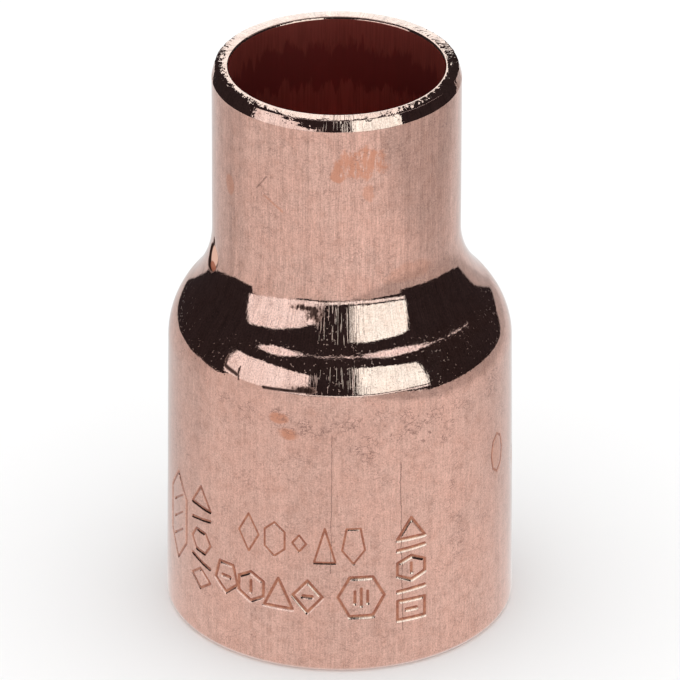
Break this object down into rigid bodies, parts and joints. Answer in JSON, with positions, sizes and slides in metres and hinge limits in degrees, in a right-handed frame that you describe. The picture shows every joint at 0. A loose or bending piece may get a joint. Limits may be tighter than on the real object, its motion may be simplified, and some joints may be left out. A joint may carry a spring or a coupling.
{
  "type": "concentric pipe reducer",
  "caption": "Drawn copper solder reducer: a wide tube socket that narrows through a smooth curved shoulder to a coaxial narrow socket.",
  "frame": {"origin": "centre of the large socket's end face, on the bore's axis", "axes": "+Z along the bore, from the large socket towards the small socket; the stamped marks face -Y"},
  "size_m": [0.0248, 0.0248, 0.0419],
  "materials": {
    "drawn_copper": "bright drawn copper with fine lengthwise draw lines, slightly tarnished"
  },
  "bodies": {
    "root": {"reducer_body": "drawn_copper"}
  },
  "joints": []
}
